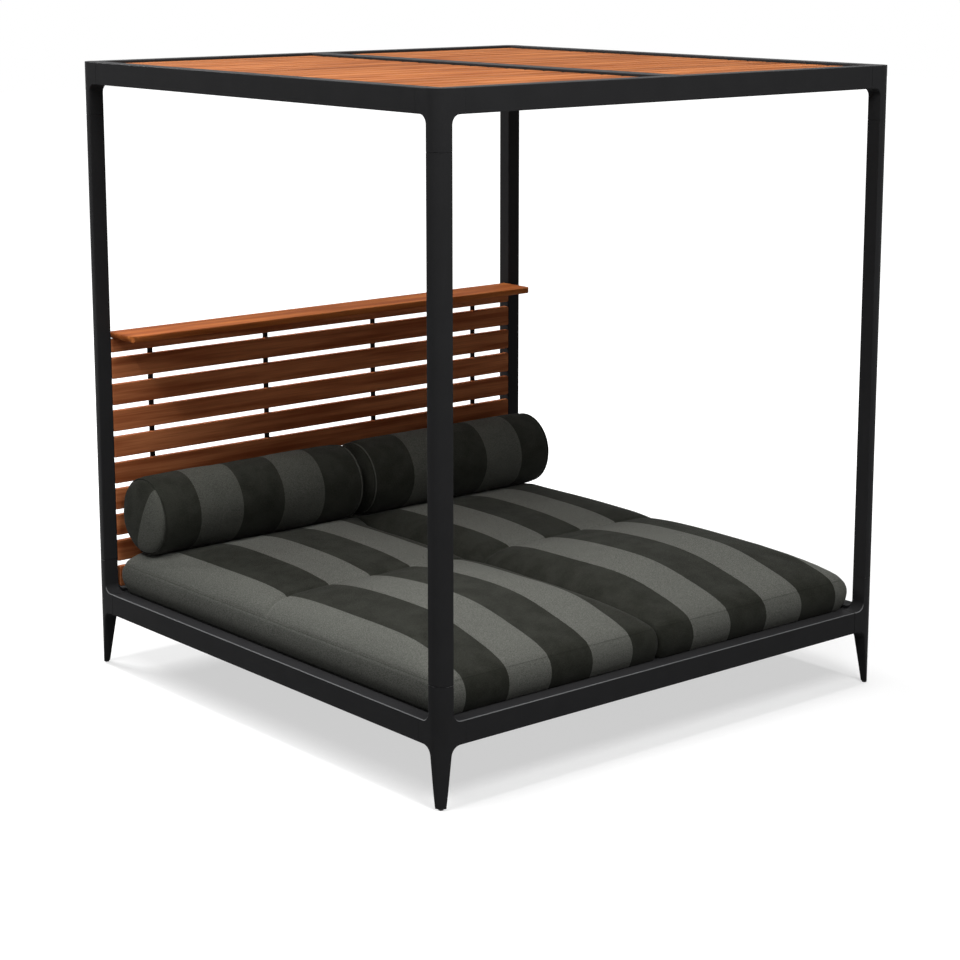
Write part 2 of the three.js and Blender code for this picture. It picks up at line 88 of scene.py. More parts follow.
# Sewn details of a mattress
SEAM_HEIGHT = 0.375
SEAM_DEPTH = 0.0022
SEAM_SPREAD = 0.004
CREASE_Y = 0.015
CREASE_DIP = 0.015
CREASE_SPREAD = 0.060
STITCH_DEPTH = 0.006
STITCH_SPREAD = 0.008
PUCKER_DEPTH = 0.0022
PUCKER_REACH = 0.070
PUCKER_PITCH = 0.040
SLACK_DEPTH = 0.0016
SLACK_PITCH = 0.22
TOP_BLEND = 0.02
BED_BLEND = 0.05
MATTRESS_SLACK_SEED = 3

# Bolster form
BOLSTER_VOXEL = 0.008
BOLSTER_RINGS = 150
BOLSTER_FACETS = 132
DOME = 0.030
DOME_POWER = 2.4
DOME_SHARE = 0.28
SHOULDER = 0.034
SHOULDER_DROP = 0.008
PIPING_RADIUS = 0.0028
PIPING_STEPS = 10
PIPING_FACETS = 2 * BOLSTER_FACETS
PIPING_PROUD_SHARE = 0.35

# Sewn details of a bolster
RING_DEPTH = 0.002
RING_SPREAD = 0.006
WRINKLE_DEPTH = 0.0022
WRINKLE_REACH = 0.050
WRINKLE_PITCH = 0.055
WRINKLE_START = 0.008
RING_BLEND = 0.03
UNDERSIDE_BLEND = 0.03
UNDERSIDE_SHARE = 0.9
REAR_BULGE = 0.003
BOLSTER_SLACK_SEED = 5

# Cloth
CLOTH_FRAMES = 18
CLOTH_QUALITY = 3
CLOTH_MASS = 0.25
STRETCH_STIFFNESS = 20
SHEAR_STIFFNESS = 8
BENDING_STIFFNESS = 0.8
MATTRESS_PRESSURE = 1.8
BOLSTER_PRESSURE = 3
MATTRESS_SLACK_SHARE = 0
BOLSTER_SLACK_SHARE = 0.008
MATTRESS_MOVE = 0.028
BOLSTER_MOVE = 0.008
EVEN_ROUNDS = 16
NOISE_SEED_STEP = (17.3, 5.1, 9.7)
NEARLY_ZERO = 1e-9

# Where the covers are held: along sewn lines and where they lie on a neighbour
HELD_BASE = 0.012
HELD_WALL = 0.05
HELD_LINE = 0.7 * MATTRESS_VOXEL
HELD_RING = 0.8 * BOLSTER_VOXEL
HELD_UNDERSIDE_SHARE = 0.93
HELD_REAR_SHARE = 0.96

# Stripes of the covers, as seen from the foot end
MATTRESS_STRIPE = 0.178
LEFT_MATTRESS_DARK = -0.842
RIGHT_MATTRESS_DARK = -0.026
BOLSTER_STRIPE = 0.1835
LEFT_BOLSTER_DARK = -0.582
RIGHT_BOLSTER_DARK = 0.397
OUTER_END_DARK = -0.0225
INNER_END_DARK = -0.150
INNER_END_STRIPE = 0.300
END_STRIPE_NORMAL = (0, 0.916, 0.402)
DARK_STRIPE_SHARE = 0.5

# Materials: a scale counts noise waves to the metre, a range is the part of a noise that is
# used, and a relief is the strength and the depth of a bump
NOISE_RANGE = (0.3, 0.7)
BLACK = (0, 0, 0)

# Canvas
WARP_SCALE = (160, 900, 900)
WEFT_SCALE = (900, 160, 400)
WEAVE_ROUGHNESS = 0.6
CANVAS_CLOUD_SCALE = (14, 14, 14)
MATTRESS_GREYS = ((82, 83, 78), (119, 120, 114))
# The bolster greys are the mattress greys set darker, as painted shade
SHADED_BOLSTER_GREYS = ((65, 66, 61), (96, 97, 91))
DARK_GREYS = ((34, 35, 30), (50, 51, 45))
SPECKLE_RANGE = (0.8, 1.2)
STRIPE_JITTER = 0.004
FADED_GREY = (120, 121, 114)
FADED_SHARE = 0.06
BOXING_EDGE = 0.001
# Painted shade: share by which the boxed wall below a seam is darkened
BOXING_PAINTED_SHADE_SHARE = 0.16
SEAM_GREY = (30, 31, 27)
SEAM_LINE_HALF_WIDTHS = (0.0004, 0.0022)
SEAM_LINE_SHARE = 0.3
CANVAS_ROUGHNESS = 0.92
CANVAS_SPECULAR = 0.05
SHEEN_WEIGHT = 0.04
SHEEN_ROUGHNESS = 0.5
CANVAS_RELIEF = (0.5, 0.0009)
WELT_TWIST_SCALE = (600, 600, 600)
WELT_GREYS = ((72, 73, 68), (98, 99, 93))
WELT_ROUGHNESS = 0.9
WELT_RELIEF = (0.4, 0.0006)

# Powder coat and glides
COAT_CLOUD_SCALE = (9, 9, 9)
COAT_PEEL_SCALE = (700, 700, 700)
COAT_GREYS = ((43, 43, 44), (50, 50, 51))
# Lighter grey of a painted highlight on the low outer edges that round over to face up
EDGE_HIGHLIGHT_GREY = (112, 113, 114)
COAT_ROUGHNESS = (0.42, 0.52)
COAT_SPECULAR = 0.012
COAT_RELIEF = (0.25, 0.0004)
# Width, top height and normal tilt of that painted highlight
EDGE_HIGHLIGHT_WIDTH = 0.0045
EDGE_HIGHLIGHT_TOP = 0.5
EDGE_HIGHLIGHT_TILT = (0.15, 0.45)
GLIDE_SPECKLE_SCALE = (500, 500, 500)
GLIDE_GREYS = ((14, 14, 14), (24, 24, 24))
GLIDE_ROUGHNESS = 0.7
GLIDE_RELIEF = (0.2, 0.0003)

# Teak
STREAK_SCALE_ALONG = 1.7
GRAIN_SCALE = (5, 260, 260)
GRAIN_ROUGHNESS = 0.6
GRAIN_DISTORTION = 0.1
PORE_SCALE = (28, 900, 900)
PORE_SHARE = 0.5
BOARD_SHIFT = (7, 0.6, 0.6)
BOARD_TONE_SHARES = (0.86, 1.1)
STREAK_RANGE = (0.32, 0.7)
GRAIN_RANGE = (0.35, 0.75)
TEAK_ROUGHNESS = (0.62, 0.8)
TEAK_SPECULAR = 0.06
TEAK_RELIEF = (0.35, 0.0006)

# Each timber: its tones, how broad and how wavy its streaks are, and how strongly its fine grain
# shows. All three are one teak; the canopy's tones are set darker as painted shade, against the
# stronger light on top of the roof.
HEADBOARD_TIMBER = {
    "light": (208, 130, 84), "dark": (150, 80, 45),
    "breadth": 0.030, "waviness": 0.15, "grain_share": 0.45,
}
CANOPY_TIMBER = {
    "light": (174, 108, 63), "dark": (134, 74, 36),
    "breadth": 0.100, "waviness": 0.9, "grain_share": 0.18,
}
SHELF_TIMBER = {
    "light": (206, 121, 62), "dark": (158, 83, 39),
    "breadth": 0.045, "waviness": 0.3, "grain_share": 0.4,
}

# Size of one row of boards; the shelf is a single board, inside one row that starts at the floor
HEADBOARD_PITCH = 0.097
ROOF_PITCH = 0.0952
SHELF_PITCH = 2

# Shading of the CAD nodes
WELD_DISTANCE = 0.00001
SHARP_ANGLE_DEGREES = 50
FLAT_FACE_WEIGHT = 100

# Light
SKY_STRENGTH = 0.05
SUN_LEVEL = 0.45
SUN_SPREAD_DEGREES = 6
SOFTBOX_SIDE = 2.5
FLOOR_BOUNCE_SHARE = 0.15
FLOOR_SEEN_SHARE = 0.42
FLOOR_GLOW = 0.6
FLOOR_FADE_START = 1.9
FLOOR_FADE_END = 3.2
FLOOR_REACH = 30
FLOOR_DROP = 0.0005

# Softboxes: name, place, what it points at and power in watts
SOFTBOXES = (
    ("front_top", (-1.0, -4.5, 6.0), (0, -0.2, 0.5), 238),
    ("front_low", (-1.0, -7.5, 2.2), (0, 0, 0.7), 25),
    ("left_top", (-3.9, 0.3, 6.4), (-0.3, 0.2, 0.5), 150),
    ("left_front", (-5.0, -2.5, 6.0), (-0.5, 0.3, 0.6), 30),
    ("rear_top", (-1.5, 6.5, 5.0), (0, 0.5, 0.8), 500),
)

# Narrow lamp on the left end of the headboard
ACCENT_PLACE = (-4.0, -0.6, 4.6)
ACCENT_AIM = (-1.0, 0.9, 0.85)
ACCENT_POWER = 240
ACCENT_CONE_DEGREES = 12
ACCENT_RADIUS = 0.12

# Colour sockets of the mix node, by their place in its lists of inputs and outputs
MIX_FIRST = 6
MIX_SECOND = 7
MIX_RESULT = 2


def colour(red, green, blue):
    """Linear colour of a display colour given from 0 to 255, by the sRGB curve."""
    shares = [channel / 255 for channel in (red, green, blue)]
    linear = [c / 12.92 if c <= 0.04045 else ((c + 0.055) / 1.055) ** 2.4 for c in shares]
    return (*linear, 1)


class Finish:
    """One node material, built from small steps."""

    def __init__(self, name):
        self.material = bpy.data.materials.new(name)
        self.material.use_nodes = True
        self.tree = self.material.node_tree
        self.surface = self.tree.nodes["Principled BSDF"]
        coordinates = self.add("ShaderNodeTexCoord")
        self.place = coordinates.outputs["Object"]

    def add(self, kind, **settings):
        node = self.tree.nodes.new(kind)
        for key, value in settings.items():
            setattr(node, key, value)
        return node

    def feed(self, socket, value):
        if isinstance(value, bpy.types.NodeSocket):
            self.tree.links.new(value, socket)
        else:
            socket.default_value = value

    def math(self, operation, first, second=0.0):
        node = self.add("ShaderNodeMath", operation=operation)
        self.feed(node.inputs[0], first)
        self.feed(node.inputs[1], second)
        return node.outputs[0]

    def stretched(self, scale, place=None):
        """Place multiplied by a scale for each axis."""
        node = self.add("ShaderNodeVectorMath", operation="MULTIPLY")
        self.feed(node.inputs[0], self.place if place is None else place)
        node.inputs[1].default_value = scale
        return node.outputs[0]

    def noise(self, vector, detail=2.0, roughness=0.5, distortion=0.0):
        node = self.add("ShaderNodeTexNoise")
        self.feed(node.inputs["Vector"], vector)
        node.inputs["Scale"].default_value = 1
        node.inputs["Detail"].default_value = detail
        node.inputs["Roughness"].default_value = roughness
        node.inputs["Distortion"].default_value = distortion
        return node.outputs["Fac"]

    def along(self, axis):
        """Distance from the origin along an axis."""
        node = self.add("ShaderNodeVectorMath", operation="DOT_PRODUCT")
        self.feed(node.inputs[0], self.place)
        node.inputs[1].default_value = axis
        return node.outputs["Value"]

    def spread(self, factor, low, high, to_low=0.0, to_high=1.0):
        """Smooth step from one value to another as the factor runs from low to high."""
        node = self.add("ShaderNodeMapRange", interpolation_type="SMOOTHSTEP")
        for socket, value in zip(node.inputs, (factor, low, high, to_low, to_high)):
            self.feed(socket, value)
        return node.outputs[0]

    def mix(self, factor, first, second):
        node = self.add("ShaderNodeMix", data_type="RGBA")
        self.feed(node.inputs[0], factor)
        self.feed(node.inputs[MIX_FIRST], first)
        self.feed(node.inputs[MIX_SECOND], second)
        return node.outputs[MIX_RESULT]

    def between(self, factor, tones):
        """Mix of two display colours."""
        first, second = tones
        return self.mix(factor, colour(*first), colour(*second))

    def painted_highlight_mask(self, side, width, top):
        """1 where an outer face rounds over to face up, below a level, and 0 elsewhere: the mask
        of a painted highlight.
        """
        reaches = [self.math("ABSOLUTE", self.along(axis)) for axis in (ACROSS, TO_HEADBOARD)]
        beside = self.spread(self.math("MAXIMUM", *reaches), side - width, side - width / 2)
        facing = self.add("ShaderNodeSeparateXYZ")
        self.feed(facing.inputs[0], self.add("ShaderNodeNewGeometry").outputs["Normal"])
        rising = self.spread(facing.outputs["Z"], *EDGE_HIGHLIGHT_TILT)
        low = self.math("LESS_THAN", self.along(UP), top)
        return self.math("MULTIPLY", self.math("MULTIPLY", beside, rising), low)

    def bump(self, height, strength, distance):
        node = self.add("ShaderNodeBump")
        self.feed(node.inputs["Height"], height)
        node.inputs["Strength"].default_value = strength
        node.inputs["Distance"].default_value = distance
        self.tree.links.new(node.outputs["Normal"], self.surface.inputs["Normal"])


def powder_coat():
    """Near-black satin powder coat with a fine orange peel, and a painted highlight on the low
    outer edges where they round over to face up.
    """
    finish = Finish("powder_coat")
    cloudy = finish.noise(finish.stretched(COAT_CLOUD_SCALE), detail=3)
    tone = finish.between(cloudy, COAT_GREYS)
    outer_face = -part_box("base_rail_left")[0].x
    # Painted highlight: lighter grey where the low outer edges round over to face up
    fade_and_painted_light = finish.painted_highlight_mask(outer_face, EDGE_HIGHLIGHT_WIDTH, EDGE_HIGHLIGHT_TOP)
    coat_with_painted_highlight = finish.mix(fade_and_painted_light, tone, colour(*EDGE_HIGHLIGHT_GREY))
    finish.feed(finish.surface.inputs["Base Color"], coat_with_painted_highlight)
    peel = finish.noise(finish.stretched(COAT_PEEL_SCALE), detail=2)
    roughness = finish.spread(peel, *NOISE_RANGE, *COAT_ROUGHNESS)
    finish.feed(finish.surface.inputs["Roughness"], roughness)
    finish.surface.inputs["Specular IOR Level"].default_value = COAT_SPECULAR
    finish.bump(peel, *COAT_RELIEF)
    return finish.material


def teak(name, timber, row_axis, row_start, row_pitch):
    """Oiled teak with its grain along X, cut from new timber for each row of boards."""
    light = colour(*timber["light"])
    dark = colour(*timber["dark"])
    across = 1 / timber["breadth"]
    finish = Finish(name)
    rows = finish.math("SUBTRACT", finish.along(row_axis), row_start)
    board = finish.math("FLOOR", finish.math("DIVIDE", rows, row_pitch))
    pick = finish.add("ShaderNodeTexWhiteNoise", noise_dimensions="1D")
    finish.feed(pick.inputs["W"], board)
    shift = finish.add("ShaderNodeVectorMath", operation="MULTIPLY_ADD")
    finish.feed(shift.inputs[0], pick.outputs["Color"])
    shift.inputs[1].default_value = BOARD_SHIFT
    finish.feed(shift.inputs[2], finish.place)
    place = shift.outputs[0]
    streaks = finish.noise(
        finish.stretched((STREAK_SCALE_ALONG, across, across), place),
        detail=3, distortion=timber["waviness"],
    )
    grain = finish.noise(
        finish.stretched(GRAIN_SCALE, place),
        detail=3, roughness=GRAIN_ROUGHNESS, distortion=GRAIN_DISTORTION,
    )
    pores = finish.noise(finish.stretched(PORE_SCALE, place), detail=1)
    tone = finish.mix(finish.spread(streaks, *STREAK_RANGE), light, dark)
    grain_line = finish.spread(grain, *GRAIN_RANGE, 0.0, timber["grain_share"])
    fine = finish.mix(grain_line, tone, dark)
    shade = finish.add("ShaderNodeHueSaturation")
    finish.feed(shade.inputs["Color"], fine)
    board_tone = finish.spread(pick.outputs["Value"], 0, 1, *BOARD_TONE_SHARES)
    finish.feed(shade.inputs["Value"], board_tone)
    finish.feed(finish.surface.inputs["Base Color"], shade.outputs["Color"])
    roughness = finish.spread(grain, *NOISE_RANGE, *TEAK_ROUGHNESS)
    finish.feed(finish.surface.inputs["Roughness"], roughness)
    finish.surface.inputs["Specular IOR Level"].default_value = TEAK_SPECULAR
    relief = finish.math("ADD", grain, finish.math("MULTIPLY", pores, PORE_SHARE))
    finish.bump(relief, *TEAK_RELIEF)
    return finish.material


def striped_canvas(name, axis, start, width, greys, seams=()):
    """Heathered outdoor canvas woven in two broad stripes, square to an axis.

    Each seam is a dark line, and the boxed wall below it is darkened a little as painted shade.
    """
    finish = Finish(name)
    warp = finish.noise(finish.stretched(WARP_SCALE), roughness=WEAVE_ROUGHNESS)
    weft = finish.noise(finish.stretched(WEFT_SCALE), roughness=WEAVE_ROUGHNESS)
    heather = finish.math("ADD", warp, weft)
    jitter = finish.math("MULTIPLY", finish.math("SUBTRACT", heather, 1.0), STRIPE_JITTER)
    across = finish.math("ADD", finish.along(axis), jitter)
    turns = finish.math("DIVIDE", finish.math("SUBTRACT", across, start), 2 * width)
    is_dark = finish.math("LESS_THAN", finish.math("FRACT", turns), DARK_STRIPE_SHARE)
    speckle = finish.spread(heather, *SPECKLE_RANGE)
    grey = finish.between(speckle, greys)
    dark = finish.between(speckle, DARK_GREYS)
    cloth = finish.mix(is_dark, grey, dark)
    cloudy = finish.noise(finish.stretched(CANVAS_CLOUD_SCALE))
    faded = finish.spread(cloudy, *NOISE_RANGE, 0.0, FADED_SHARE)
    fade_and_painted_light = finish.mix(faded, cloth, colour(*FADED_GREY))
    for seam_axis, seam_place in seams:
        past = finish.math("SUBTRACT", finish.along(seam_axis), seam_place)
        # Painted shade on the boxed wall below the seam
        painted_wall_shade = finish.spread(past, -BOXING_EDGE, BOXING_EDGE, BOXING_PAINTED_SHADE_SHARE, 0.0)
        fade_and_painted_light = finish.mix(painted_wall_shade, fade_and_painted_light, colour(*BLACK))
        off_seam = finish.math("ABSOLUTE", past)
        line = finish.spread(off_seam, *SEAM_LINE_HALF_WIDTHS, SEAM_LINE_SHARE, 0.0)
        fade_and_painted_light = finish.mix(line, fade_and_painted_light, colour(*SEAM_GREY))
    finish.feed(finish.surface.inputs["Base Color"], fade_and_painted_light)
    finish.surface.inputs["Roughness"].default_value = CANVAS_ROUGHNESS
    finish.surface.inputs["Specular IOR Level"].default_value = CANVAS_SPECULAR
    finish.surface.inputs["Sheen Weight"].default_value = SHEEN_WEIGHT
    finish.surface.inputs["Sheen Roughness"].default_value = SHEEN_ROUGHNESS
    finish.bump(heather, *CANVAS_RELIEF)
    return finish.material


def welt_canvas(name):
    """Plain grey canvas of the welt on the inner end of a bolster."""
    finish = Finish(name)
    twist = finish.noise(finish.stretched(WELT_TWIST_SCALE))
    finish.feed(finish.surface.inputs["Base Color"], finish.between(twist, WELT_GREYS))
    finish.surface.inputs["Roughness"].default_value = WELT_ROUGHNESS
    finish.surface.inputs["Specular IOR Level"].default_value = CANVAS_SPECULAR
    finish.bump(twist, *WELT_RELIEF)
    return finish.material


def glide_plastic():
    """Black plastic of the foot glides."""
    finish = Finish("glide_plastic")
    speckle = finish.noise(finish.stretched(GLIDE_SPECKLE_SCALE), detail=1)
    finish.feed(finish.surface.inputs["Base Color"], finish.between(speckle, GLIDE_GREYS))
    finish.surface.inputs["Roughness"].default_value = GLIDE_ROUGHNESS
    finish.bump(speckle, *GLIDE_RELIEF)
    return finish.material


def dress_frame():
    """Materials and shading of the CAD nodes that stay in view."""
    coat = powder_coat()
    glide = glide_plastic()
    lowest_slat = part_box("headboard_slat_1")[0].z
    foot_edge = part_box("roof_panel_left")[0].y
    materials = {
        "headboard_slat": teak(
            "teak_headboard", HEADBOARD_TIMBER, UP, lowest_slat, HEADBOARD_PITCH,
        ),
        "roof_panel": teak("teak_canopy", CANOPY_TIMBER, TO_HEADBOARD, foot_edge, ROOF_PITCH),
        "headboard_shelf": teak("teak_shelf", SHELF_TIMBER, UP, 0, SHELF_PITCH),
        "foot_glide": glide,
    }
    for name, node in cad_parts.items():
        fitting = [materials[start] for start in materials if name.startswith(start)]
        node.data.materials.clear()
        node.data.materials.append(fitting[0] if fitting else coat)
        soften_shading(node)


def smooth_faces(mesh):
    mesh.polygons.foreach_set("use_smooth", [True] * len(mesh.polygons))


def soften_shading(node):
    """Smooth shading over the rounded edges, broken at the sharp ones, with flat faces flat."""
    smooth_faces(node.data)
    weld = node.modifiers.new("weld", "WELD")
    weld.merge_threshold = WELD_DISTANCE
    split = node.modifiers.new("sharp_edges", "EDGE_SPLIT")
    split.split_angle = math.radians(SHARP_ANGLE_DEGREES)
    weighted = node.modifiers.new("flat_faces", "WEIGHTED_NORMAL")
    weighted.weight = FLAT_FACE_WEIGHT
    weighted.keep_sharp = True


def put_in_scene(name, data):
    """New object that shows a mesh, a lamp or a camera."""
    holder = bpy.data.objects.new(name, data)
    bpy.context.scene.collection.objects.link(holder)
    return holder


def new_piece(name, points, faces):
    mesh = bpy.data.meshes.new(name)
    mesh.from_pydata([tuple(point) for point in points], [], faces)
    mesh.validate()
    mesh.update()
    return put_in_scene(name, mesh)


def read_vectors(mesh, kind):
    values = np.empty(len(mesh.vertices) * 3)
    mesh.vertices.foreach_get(kind, values)
    return values.reshape(-1, 3)


def read_points(mesh):
    return read_vectors(mesh, "co")


def write_points(mesh, points):
    mesh.vertices.foreach_set("co", np.asarray(points, float).ravel())
    mesh.update()


def read_normals(mesh):
    return read_vectors(mesh, "normal")


def bake_modifiers(piece):
    """Replaces the mesh of a piece by the result of its modifiers."""
    graph = bpy.context.evaluated_depsgraph_get()
    baked = bpy.data.meshes.new_from_object(piece.evaluated_get(graph))
    piece.modifiers.clear()
    piece.data = baked


def remesh(piece, voxel):
    """One even skin over the whole form."""
    modifier = piece.modifiers.new("remesh", "REMESH")
    modifier.mode = "VOXEL"
    modifier.voxel_size = voxel
    bake_modifiers(piece)


def subdivide(piece):
    modifier = piece.modifiers.new("subdivide", "SUBSURF")
    modifier.levels = 1
    bake_modifiers(piece)


def smooth_noise(points, pitch, seed):
    """Smooth noise from -1 to 1 at each point."""
    shift = Vector([seed * step for step in NOISE_SEED_STEP])
    return np.array([noise.noise(Vector(point) / pitch + shift) for point in points])


def even_out(mesh, move, held):
    """Averages the move of the free points with their neighbours', so that no buckle stays."""
    ends = np.empty(len(mesh.edges) * 2, int)
    mesh.edges.foreach_get("vertices", ends)
    first, second = ends.reshape(-1, 2).T
    neighbours = np.bincount(ends, minlength=len(move))[:, None]
    free = (held <= 0)[:, None]
    for _ in range(EVEN_ROUNDS):
        total = np.zeros_like(move)
        np.add.at(total, first, move[second])
        np.add.at(total, second, move[first])
        move = np.where(free, (move + total / neighbours) / 2, move)
    return move


def inflate(piece, held, pressure, slack, furthest):
    """Cloth simulation: the cover swells between the points that are held.

    The slack is the share by which the cloth grows, and no point moves more than the furthest.
    """
    group = piece.vertex_groups.new(name="held")
    for index in np.flatnonzero(held > 0):
        group.add([int(index)], float(held[index]), "REPLACE")
    before = read_points(piece.data)
    modifier = piece.modifiers.new("cloth", "CLOTH")
    modifier.collision_settings.use_collision = False
    cloth = modifier.settings
    cloth.quality = CLOTH_QUALITY
    cloth.mass = CLOTH_MASS
    cloth.tension_stiffness = STRETCH_STIFFNESS
    cloth.compression_stiffness = STRETCH_STIFFNESS
    cloth.shear_stiffness = SHEAR_STIFFNESS
    cloth.bending_stiffness = BENDING_STIFFNESS
    cloth.shrink_min = -slack
    cloth.use_pressure = True
    cloth.uniform_pressure_force = pressure
    cloth.effector_weights.gravity = 0
    cloth.vertex_group_mass = group.name
    cloth.pin_stiffness = 1
    modifier.point_cache.frame_start = 1
    modifier.point_cache.frame_end = CLOTH_FRAMES
    scene = bpy.context.scene
    for step in range(1, CLOTH_FRAMES + 1):
        scene.frame_set(step)
    graph = bpy.context.evaluated_depsgraph_get()
    settled = piece.evaluated_get(graph).to_mesh()
    after = read_points(settled)
    piece.modifiers.clear()
    piece.vertex_groups.clear()
    scene.frame_set(1)
    move = even_out(piece.data, after - before, held)
    length = np.maximum(np.linalg.norm(move, axis=1, keepdims=True), NEARLY_ZERO)
    write_points(piece.data, before + move * np.minimum(1, furthest / length))


def roll_share(inward, run, power, root):
    """Share of the crown that is reached at a distance in from an edge."""
    share = np.clip(inward / run, 0, 1)
    return (1 - (1 - share) ** power) ** (1 / root)


def full_corner(ends, sides):
    """Share of the crown where an end roll meets a side roll, fuller than their product."""
    ends = np.maximum(ends, LEAST_ROLL_SHARE)
    sides = np.maximum(sides, LEAST_ROLL_SHARE)
    return (ends ** -CORNER_FULLNESS + sides ** -CORNER_FULLNESS - 1) ** (-1 / CORNER_FULLNESS)


def tuck(height):
    """How far the boxed wall draws in towards its foot."""
    return BASE_TUCK * (1 - height / WALL_HEIGHT) ** 2


def crowded(start, end, count):
    """Stations that crowd together at both ends of a run."""
    angles = np.linspace(0, math.pi, count + 1)
    return (start + end) / 2 - (end - start) / 2 * np.cos(angles)


class MattressForm:
    """The outline of one mattress, taken from its CAD node."""

    def __init__(self, node, bolster):
        low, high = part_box(node)
        roll_low, roll_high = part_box(bolster)
        rear = high.y + MATTRESS_REAR_EASE
        self.centre_x = (low.x + high.x) / 2
        self.centre_y = (low.y + rear) / 2
        self.half_x = (high.x - low.x) / 2
        self.half_y = (rear - low.y) / 2
        self.bottom = low.z
        self.bed_y = (roll_low.y + roll_high.y) / 2
        self.bed_z = roll_low.z - BED_CLEARANCE

    def top(self, x, y):
        """Height of the top over a point given from the centre of the mattress."""
        off_bed = y + self.centre_y - self.bed_y
        beside_other = x * self.centre_x < 0
        fill = np.where(beside_other, INNER_FILL * np.exp(-(off_bed / INNER_FILL_REACH) ** 2), 0)
        roll = np.where(y < 0, FOOT_ROLL, HEAD_ROLL)
        ends = roll_share(self.half_y - np.abs(y), roll, END_POWER, END_ROOT)
        sides = roll_share(self.half_x - np.abs(x) + fill, self.half_x, SIDE_POWER, SIDE_ROOT)
        dip = CREASE_DIP * np.exp(-np.abs(y + self.centre_y - CREASE_Y) / CREASE_SPREAD)
        crown = self.bottom + WALL_HEIGHT + CROWN_RISE * full_corner(ends, sides) - dip * sides
        bed = self.bed_z + off_bed ** 2 / (2 * BED_RADIUS)
        return np.minimum(crown, bed)

    def rounded(self, x, y, inset):
        """Plan position with the corners rounded off.

        The inset draws in the outer side and both ends; the side at the split stays upright.
        """
        half_x = self.half_x - inset / 2
        half_y = self.half_y - inset
        middle_x = self.centre_x - math.copysign(inset / 2, self.centre_x)
        x = x * half_x / self.half_x
        y = y * half_y / self.half_y
        straight_x = half_x - MATTRESS_CORNER_RADIUS
        straight_y = half_y - MATTRESS_CORNER_RADIUS
        over_x = np.abs(x) - straight_x
        over_y = np.abs(y) - straight_y
        corner = (over_x > 0) & (over_y > 0)
        reach = np.maximum(np.hypot(over_x, over_y), NEARLY_ZERO)
        shrink = np.where(corner, np.maximum(over_x, over_y) / reach, 1)
        new_x = np.where(corner, np.sign(x) * (straight_x + over_x * shrink), x)
        new_y = np.where(corner, np.sign(y) * (straight_y + over_y * shrink), y)
        return new_x + middle_x, new_y + self.centre_y


def mattress_mesh(name, form):
    """Closed form of a mattress: top, base and upright wall, before the cover swells."""
    xs = crowded(-form.half_x, form.half_x, MATTRESS_COLUMNS)
    ys = crowded(-form.half_y, form.half_y, MATTRESS_ROWS)
    grid_x, grid_y = np.meshgrid(xs, ys)
    points = []
    faces = []

    def add_points(x, y, z, inset):
        start = sum(len(block) for block in points)
        plan_x, plan_y = form.rounded(x, y, inset)
        points.append(np.column_stack([plan_x, plan_y, z]))
        return start + np.arange(len(z))

    flat_x = grid_x.ravel()
    flat_y = grid_y.ravel()
    top = add_points(flat_x, flat_y, form.top(flat_x, flat_y), 0).reshape(grid_x.shape)
    level = np.full(len(flat_x), form.bottom - BASE_OVERRUN)
    base = add_points(flat_x, flat_y, level, BASE_TUCK).reshape(grid_x.shape)
    last_row = len(ys) - 1
    last_column = len(xs) - 1
    for row in range(last_row):
        for column in range(last_column):
            corners = (row, column), (row, column + 1), (row + 1, column + 1), (row + 1, column)
            faces.append([top[corner] for corner in corners])
            faces.append([base[corner] for corner in reversed(corners)])
    rim = [(0, column) for column in range(last_column)]
    rim += [(row, last_column) for row in range(last_row)]
    rim += [(last_row, column) for column in range(last_column, 0, -1)]
    rim += [(row, 0) for row in range(last_row, 0, -1)]
    rim_rows, rim_columns = np.array(rim).T
    rings = [base[rim_rows, rim_columns]]
    for step in range(1, MATTRESS_WALL_LEVELS):
        height = WALL_HEIGHT * step / MATTRESS_WALL_LEVELS
        level = np.full(len(rim), form.bottom + height)
        rings.append(add_points(xs[rim_columns], ys[rim_rows], level, tuck(height)))
    rings.append(top[rim_rows, rim_columns])
    for lower, upper in zip(rings, rings[1:]):
        for here in range(len(rim)):
            there = (here + 1) % len(rim)
            faces.append((lower[here], lower[there], upper[there], upper[here]))
    faces = [tuple(int(number) for number in face) for face in faces]
    return new_piece(name, np.vstack(points), faces)


def mattress_held(form, points):
    """Where the cover of a mattress is sewn or pressed: 1 is held, 0 is free."""
    x, y, z = points.T
    edge = np.minimum(
        form.half_x - np.abs(x - form.centre_x),
        form.half_y - np.abs(y - form.centre_y),
    )
    held = np.zeros(len(points))
    held[z < form.bottom + HELD_BASE] = 1
    held[(np.abs(z - SEAM_HEIGHT) < HELD_LINE) & (edge < HELD_WALL)] = 1
    held[(np.abs(y - CREASE_Y) < HELD_LINE) & (z > SEAM_HEIGHT)] = 1
    held[np.abs(y - form.bed_y) < BED_HALF_WIDTH] = 1
    return held


